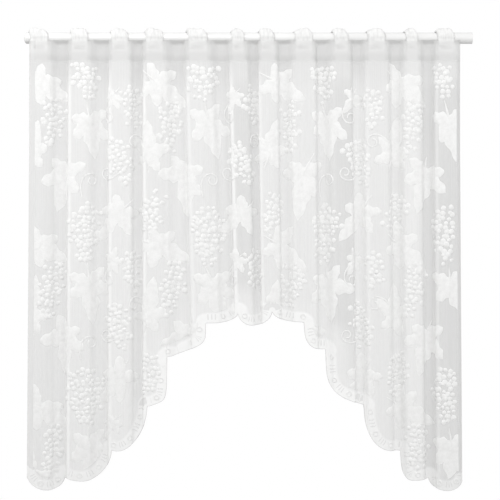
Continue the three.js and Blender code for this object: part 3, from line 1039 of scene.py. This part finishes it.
def motif_places(rows):
    """Each motif of the table in each repeat: its flat place, then the rest of its row."""
    for corner_s, corner_d in repeats():
        for across, down_share, *rest in rows:
            yield corner_s + across * TILE_WIDTH, corner_d + down_share * TILE_DROP, *rest


def vine_leaf_mesh():
    """One mesh of all leaves. A lobe that meets the edge of the pattern ends there, as if cut."""
    leaf_scatter = np.random.default_rng(LEAF_SEED)
    points, faces = [], []
    first = 0
    for s, d, size, narrow, turn in motif_places(LEAVES):
        for direction, length, width, height, taper in LEAF_LOBES:
            swing = leaf_scatter.normal(0, LOBE_SWING)
            stretch = leaf_scatter.uniform(*LOBE_LENGTHS)
            outline = turned(lobe_outline(length * stretch, width, taper), direction + swing)
            outline = turned(outline * [narrow * size, size], turn)
            sides = (SIDE_HEM_WIDTH - s, FLAT_WIDTH - SIDE_HEM_WIDTH - s)
            shape, shape_faces = strip_patch(
                outline, sides, d - PATTERN_TOP, lambda x: d - inner_edge(s + x)
            )
            points.append(on_cloth(s + shape[:, 0], d - shape[:, 1], shape[:, 2] * height * LEAF_RELIEF))
            faces += moved_faces(shape_faces, first)
            first += len(shape)
    return soft_mesh("vine_leaves", np.vstack(points), faces)


leaves = add_piece("vine_leaves", vine_leaf_mesh(), motif_thread, "lace")


# Tendrils: single threads that run out from the stalks and curl up at their ends, in the same thick
# thread as the leaves. Each is laid flat on the net and couched down.
TENDRIL_LENGTH = 0.140
TENDRIL_CURL = 2.3 * np.pi
TENDRIL_HALF = 0.0017
TENDRIL_RELIEF = 0.0006
TENDRIL_SIDES = 6
TENDRIL_STEPS = 36
TENDRIL_TIGHTENING = 2.2
TENDRIL_REACH = 0.001

# One row for each tendril in the repeat: place across and down as shares of it, size, turn, hand.
TENDRILS = (
    (0.42, 0.220, 1.00, -140, 1),
    (0.72, 0.540, 1.00, 120, 1),
    (0.16, 0.840, 1.00, 100, -1),
    (0.48, 0.680, 0.90, -140, -1),
)


def tendril_path(size, turn, hand):
    """Flat points of a thread that starts straight and curls ever tighter."""
    heading = TENDRIL_CURL * np.linspace(0, 1, TENDRIL_STEPS) ** TENDRIL_TIGHTENING
    steps = np.column_stack((np.cos(heading), hand * np.sin(heading))) * size * TENDRIL_LENGTH
    return turned(np.cumsum(steps / TENDRIL_STEPS, axis=0), turn)


def tube(points, half_width, half_height, sides):
    """Points and faces of a round or flat cord along a line of points, closed at both ends."""
    along = np.gradient(points, axis=0)
    along /= np.linalg.norm(along, axis=1, keepdims=True)
    side = np.cross(along, [0, -1, 0])
    side /= np.linalg.norm(side, axis=1, keepdims=True)
    front = np.cross(side, along)
    rings = []
    for step in range(sides):
        turn = 2 * math.pi * step / sides
        rings.append(points + half_width * math.cos(turn) * side + half_height * math.sin(turn) * front)
    corners = np.stack(rings, axis=1).reshape(-1, 3)
    faces = []
    for first in range(0, len(corners) - sides, sides):
        faces += band(first, first + sides, sides)
    faces.append(tuple(reversed(range(sides))))
    faces.append(tuple(range(len(corners) - sides, len(corners))))
    return corners, faces


curls = []
for s, d, size, turn, hand in motif_places(TENDRILS):
    curl = tendril_path(size, turn, hand)
    if in_pattern(s + curl[:, 0], d - curl[:, 1], TENDRIL_REACH).all():
        on_net = on_cloth(s + curl[:, 0], d - curl[:, 1], np.full(len(curl), TENDRIL_RELIEF))
        curls.append(tube(on_net, TENDRIL_HALF, TENDRIL_RELIEF, TENDRIL_SIDES))
curl_points = np.array([points for points, _ in curls])
tendrils = add_piece("tendrils", joined_mesh("tendrils", curl_points, curls[0][1]), motif_thread, "lace")


# Hem cord: a thin rolled edge of tightly twisted thread along the whole scalloped foot.
# It is overlocked to the cut edge of the net.
CORD_RADIUS = 0.0007
CORD_SIDES = 6
CORD_STEPS = 900
CORD_TWIST = 700.0
EDGE_DENSITY = 0.97
EDGE_SHADE = near_white(0.60)
EDGE_GREY = near_white(0.74)


def edge_thread_material():
    """Tightly twisted edge thread, greyer than the open net for the shadows between its turns."""
    material, tree = new_material("edge_thread")
    twist = noise(tree, object_place(tree), CORD_TWIST, 2.0)
    cloth_shader(tree, mixed_colour(tree, twist, EDGE_SHADE, EDGE_GREY), EDGE_DENSITY, twist, 0.0)
    return material


hem_flat = np.linspace(0, FLAT_WIDTH, CORD_STEPS)
hem_hung = hung_from_flat(hem_flat)
hem_foot = hem_of_column(hem_hung)
cord_points, cord_faces = tube(cloth_points(hem_hung, hem_foot), CORD_RADIUS, CORD_RADIUS, CORD_SIDES)
cord_mesh = soft_mesh("hem_cord", cord_points, cord_faces)
hem_cord = add_piece("hem_cord", cord_mesh, edge_thread_material(), "lace")


# Border eyelets: small corded rings of the thick thread, one after another along the foot.
# They are worked into the woven border, between its groups of bars.
EYELET_RADIUS = 0.0056
EYELET_CORD = 0.0014
EYELET_PITCH = BAR_PITCH * BARS_REPEAT
EYELET_INSET = 0.0140
EYELET_LEAST_GAP = EYELET_INSET * 0.93
EYELET_LEFT = -0.552
EYELET_RIGHT = 0.532
EYELET_STEPS = 14
EYELET_SIDES = 6
EYELET_RELIEF = EYELET_CORD * 0.7
EYELET_LIFT = 0.0004
HEM_STRIDE = 0.003


def eyelet():
    """A flat corded ring about the origin, in flat coordinates with its height last."""
    points, faces = [], []
    for step in range(EYELET_STEPS):
        turn = 2 * math.pi * step / EYELET_STEPS
        here = step * EYELET_SIDES
        there = (step + 1) % EYELET_STEPS * EYELET_SIDES
        for bead in range(EYELET_SIDES):
            roll = 2 * math.pi * bead / EYELET_SIDES
            out = EYELET_RADIUS + EYELET_CORD * math.cos(roll)
            points.append((out * math.cos(turn), out * math.sin(turn), EYELET_RELIEF * math.sin(roll)))
            beside = (bead + 1) % EYELET_SIDES
            faces.append((here + bead, there + bead, there + beside, here + beside))
    return np.array(points), faces


def flat_from_seen(x, z):
    """Flat place and drop of the cloth that is seen at x and z from the front."""
    q = x
    for _ in range(HEM_PASSES):
        q = x - sideways_run(q, z)
    return flat_from_hung(q), HEADER_TOP - z


def hem_place(run):
    """The hem's x and z at distances along it."""
    return np.array([np.interp(run, HEM_RUN, side) for side in HEM_LINE.T])


eyelet_runs = np.arange(EYELET_PITCH, HEM_RUN[-1], EYELET_PITCH)
eyelet_foot = hem_place(eyelet_runs)
ahead_x, ahead_z = hem_place(eyelet_runs + HEM_STRIDE) - eyelet_foot
inward = EYELET_INSET / np.hypot(ahead_x, ahead_z)
eyelet_x = eyelet_foot[0] - ahead_z * inward
eyelet_z = eyelet_foot[1] + ahead_x * inward
eyelet_gap, _ = hem_distance(np.column_stack((eyelet_x, eyelet_x, eyelet_z)))
kept = (eyelet_gap > EYELET_LEAST_GAP) & (eyelet_x > EYELET_LEFT) & (eyelet_x < EYELET_RIGHT)
eyelet_s, eyelet_d = flat_from_seen(eyelet_x[kept], eyelet_z[kept])
ring_points, ring_faces = eyelet()
eyelet_points = copies_on_cloth(ring_points, eyelet_s, eyelet_d, 1.0, EYELET_LIFT)
eyelet_mesh = joined_mesh("border_eyelets", eyelet_points, ring_faces)
eyelets = add_piece("border_eyelets", eyelet_mesh, motif_thread, "lace")


# Stitching: a running stitch of white thread along the foot of the header and down both side hems.
# It holds the folded layers of the net together.
STITCH_LENGTH = 0.0036
STITCH_WIDTH = 0.0009
STITCH_PITCH = 0.0052
STITCH_RELIEF = 0.0006
STITCH_LIFT = 0.0001
STITCH_STEPS = 8
STITCH_RINGS = ((0.6, 0.9), (0, 1.0))
HEADER_STITCH_DROP = HEADER_DEPTH - 0.001
SIDE_STITCH_INSET = SIDE_HEM_WIDTH * 1.02
across_outline = ellipse(STITCH_WIDTH, STITCH_LENGTH, STITCH_STEPS)
down_outline = ellipse(STITCH_LENGTH, STITCH_WIDTH, STITCH_STEPS)
across_stitch, stitch_faces = closed_patch(across_outline, STITCH_RINGS)
down_stitch, _ = closed_patch(down_outline, STITCH_RINGS)
row_s = np.arange(STITCH_PITCH, FLAT_WIDTH - STITCH_PITCH, STITCH_PITCH)
row_d = np.full_like(row_s, HEADER_STITCH_DROP)
stitch_rows = [copies_on_cloth(across_stitch, row_s, row_d, STITCH_RELIEF, STITCH_LIFT)]
for side_s in (SIDE_STITCH_INSET, FLAT_WIDTH - SIDE_STITCH_INSET):
    row_d = np.arange(HEADER_DEPTH + STITCH_PITCH, inner_edge(side_s), STITCH_PITCH)
    row_s = np.full_like(row_d, side_s)
    stitch_rows.append(copies_on_cloth(down_stitch, row_s, row_d, STITCH_RELIEF, STITCH_LIFT))
stitch_mesh = joined_mesh("hem_stitching", np.vstack(stitch_rows), stitch_faces)
stitching = add_piece("hem_stitching", stitch_mesh, motif_thread, "lace")


# Tabs: twelve soft strips of doubled lace, each looped over the pole, with both ends sewn in behind
# the header's upper edge. Each bunches a little at the top and leans its own way.
TAB_WRAP = 0.0154
TAB_RISE = 0.0095
TAB_COLUMNS = 14
TAB_ROWS = 72
TAB_THICKNESS = 0.0011
TAB_CREASE = 0.0016
LOOP_FINENESS = 24
TAB_WHITE = near_white(0.91)
TAB_SHADE = near_white(0.83)
TAB_DRAW = (1.6, 0.5, 0.5)
TAB_SPOTS = 110.0
TAB_MOTTLE = (0.40, 0.66)
TAB_GRAIN = 900.0
TAB_DENSITY = 0.93
TAB_THROUGH_SHARE = 0.15

# One row for each crease at the top of a tab: place and half width as shares of half the tab, and depth.
TAB_CREASES = (
    (0.25, 0.18, 1.0),
    (-0.45, 0.14, 0.7),
)

# One row for each point of the loop, from the front foot over the pole to the back foot: angle round
# the pole in degrees or None, y and z, share of the rise, share of the lean, share of the width.
LOOP = (
    (None, -0.0134, -0.0205, 0.0, 0.0, 0.93),
    (None, -0.0134, -0.0175, 0.0, 0.0, 0.94),
    (None, -0.0136, -0.0145, 0.0, 0.0, 0.95),
    (-14, 0, 0, 0.0, 0.0, 0.97),
    (4, 0, 0, 0.15, 0.0, 0.99),
    (25, 0, 0, 0.3, 0.1, 1.0),
    (58, 0, 0, 0.8, 0.4, 1.0),
    (90, 0, 0, 1.0, 0.7, 1.0),
    (122, 0, 0, 0.8, 0.9, 1.0),
    (155, 0, 0, 0.3, 1.0, 1.0),
    (190, 0, 0, 0.1, 0.9, 0.95),
    (225, 0, 0, 0.05, 0.6, 0.85),
    (258, 0, 0, 0.0, 0.3, 0.75),
    (None, -0.0116, -0.0242, 0.0, 0.0, 0.68),
    (None, -0.0135, -0.0272, 0.0, 0.0, 0.65),
    (None, -0.0135, -0.0295, 0.0, 0.0, 0.65),
)

# One row for each tab, left to right: how square its top is, and how much higher its right side rides.
TAB_TOPS = (
    (5.0, -0.35),
    (7.0, 0.00),
    (2.6, 0.05),
    (4.0, -0.30),
    (8.0, -0.15),
    (2.4, 0.00),
    (4.0, 0.10),
    (3.0, 0.55),
    (4.5, -0.10),
    (3.0, 0.35),
    (3.0, 0.40),
    (7.0, 0.10),
)


def loop_path(steps):
    """The loop's y, z, rise, lean and width share at equal steps along it, on a smooth curve."""
    knots = []
    for angle, y, z, *shares in LOOP:
        if angle is not None:
            y = -TAB_WRAP * math.cos(math.radians(angle))
            z = TAB_WRAP * math.sin(math.radians(angle))
        knots.append((y, z, *shares))
    knots = np.array([knots[0], *knots, knots[-1]])
    fine = []
    for step in range(len(knots) - 3):
        before, start, end, after = knots[step : step + 4]
        for t in np.linspace(0, 1, LOOP_FINENESS, endpoint=False):
            bend = (2 * before - 5 * start + 4 * end - after) * t**2
            twist = (3 * start - before - 3 * end + after) * t**3
            fine.append(0.5 * (2 * start + (end - before) * t + bend + twist))
    fine = np.array(fine + [knots[-2]])
    run = run_along(fine[:, :2])
    wanted = np.linspace(0, run[-1], steps + 1)
    return np.column_stack([np.interp(wanted, run, column) for column in fine.T]), run[-1]


def tab_material():
    """Doubled lace: mottled where the pattern of the two layers falls together."""
    material, tree = new_material("tab_lace")
    place = object_place(tree)
    drawn = place_node(tree, "ShaderNodeMapping", (place, None, None, TAB_DRAW))
    mottle = step_between(tree, noise(tree, drawn.outputs[0], TAB_SPOTS, 3.0), *TAB_MOTTLE)
    grain = noise(tree, place, TAB_GRAIN, 2.0)
    colour = mixed_colour(tree, mottle, TAB_WHITE, TAB_SHADE)
    cloth_shader(tree, colour, TAB_DENSITY, grain, TAB_THROUGH_SHARE)
    return material


tab_lace = tab_material()
path, TAB_LENGTH = loop_path(TAB_ROWS)
for number in range(len(FOLD_ROWS)):
    middle, width, skew = (FOLDS[name][number] for name in ("tab", "width", "skew"))
    label = f"{number + 1:02d}"
    tab_mesh, share_across, share_along = grid_mesh(f"strip_{label}", TAB_COLUMNS, TAB_ROWS)
    out = 2 * share_across - 1
    y, z, rise, lean, spread = path[np.rint(share_along * TAB_ROWS).astype(int)].T
    radius = np.hypot(y, z)
    square, tilt = TAB_TOPS[number]
    puffed = TAB_RISE * (1 - np.abs(out) ** square) * (1 + tilt * out)
    for place, half_width, depth in TAB_CREASES:
        puffed = puffed - TAB_CREASE * depth * np.exp(-(((out - place) / half_width) ** 2))
    lift = 1 + rise.clip(0) * puffed / radius
    x = middle + out * spread * width / 2 - skew * lean
    set_points(tab_mesh, np.column_stack((x, y * lift, z * lift)))
    tab_mesh.shade_smooth()
    tab_piece = add_piece(f"strip_{label}", tab_mesh, tab_lace, "tab_lace", f"tab_{label}")
    thick = tab_piece.modifiers.new("cloth", "SOLIDIFY")
    thick.thickness = TAB_THICKNESS
    thick.offset = 0


# Studio: a pale floor below the hem, white surroundings, a soft key light from the upper left front,
# a side light from the left, a fill light from the right, and a camera square to the cloth.
FRAME_WIDTH = 1.250
FRAME_CENTRE = Vector((0.00375, 0, -0.5295))
CAMERA_DISTANCE = 3.0
SENSOR = 36.0
FLOOR_SIZE = 1.3
FLOOR_PLACE = (0, -0.60, -1.42)
FLOOR_GREY = near_white(0.55)
SKY_SPREAD = 0.5
BELOW_LIGHT = 0.53
ABOVE_LIGHT = 0.73
SEEN_LAYERS = 32

# One row for each soft light: name, place, what it points at, size and power.
LIGHTS = (
    ("key_light", (-0.8, -2.50, 1.10), (0, 0, -0.5), 1.8, 39),
    ("side_light", (-2.0, -0.85, 0.60), (-0.1, 0, -0.5), 1.0, 10),
    ("fill_light", (2.3, -1.8, 0.1), (0, 0, -0.5), 1.6, 21),
)

floor_shape = bmesh.new()
bmesh.ops.create_grid(floor_shape, x_segments=1, y_segments=1, size=FLOOR_SIZE)
floor_mesh = bpy.data.meshes.new("floor")
floor_shape.to_mesh(floor_mesh)
floor_shape.free()
floor_mesh.transform(Matrix.Translation(FLOOR_PLACE))
floor_material, floor_tree = new_material("pale_floor")
floor_paint = place_node(floor_tree, "ShaderNodeBsdfPrincipled", (FLOOR_GREY,))
place_node(floor_tree, "ShaderNodeOutputMaterial", (floor_paint.outputs[0],))
floor = bpy.data.objects.new("floor", floor_mesh)
floor_mesh.materials.append(floor_material)
bpy.context.scene.collection.objects.link(floor)

world = bpy.data.worlds.new("white_studio")
world.use_nodes = True
sky_tree = world.node_tree
sky_tree.nodes.clear()
ray = place_node(sky_tree, "ShaderNodeTexCoord").outputs["Generated"]
ray_height = place_node(sky_tree, "ShaderNodeSeparateXYZ", (ray,)).outputs["Z"]
sky_range = (ray_height, -SKY_SPREAD, SKY_SPREAD, BELOW_LIGHT, ABOVE_LIGHT)
sky = place_node(sky_tree, "ShaderNodeMapRange", sky_range).outputs[0]
seen = place_node(sky_tree, "ShaderNodeLightPath").outputs["Is Camera Ray"]
strength = place_node(sky_tree, "ShaderNodeMapRange", (seen, 0.0, 1.0, sky, 1.0)).outputs[0]
backing = place_node(sky_tree, "ShaderNodeBackground", ((1, 1, 1, 1), strength))
place_node(sky_tree, "ShaderNodeOutputWorld", (backing.outputs[0],))
bpy.context.scene.world = world

for name, place, target, size, power in LIGHTS:
    lamp = bpy.data.lights.new(name, "AREA")
    lamp.shape = "DISK"
    lamp.size = size
    lamp.energy = power
    light = bpy.data.objects.new(name, lamp)
    light.location = place
    light.rotation_euler = (Vector(target) - Vector(place)).to_track_quat("-Z", "Y").to_euler()
    bpy.context.scene.collection.objects.link(light)

camera_data = bpy.data.cameras.new("camera")
camera_data.sensor_width = SENSOR
camera_data.lens = SENSOR * CAMERA_DISTANCE / FRAME_WIDTH
camera = bpy.data.objects.new("camera", camera_data)
camera.location = FRAME_CENTRE - Vector((0, CAMERA_DISTANCE, 0))
camera.rotation_euler = (math.pi / 2, 0, 0)
bpy.context.scene.collection.objects.link(camera)
bpy.context.scene.camera = camera
bpy.context.scene.view_settings.view_transform = "Standard"
bpy.context.scene.cycles.transparent_max_bounces = SEEN_LAYERS
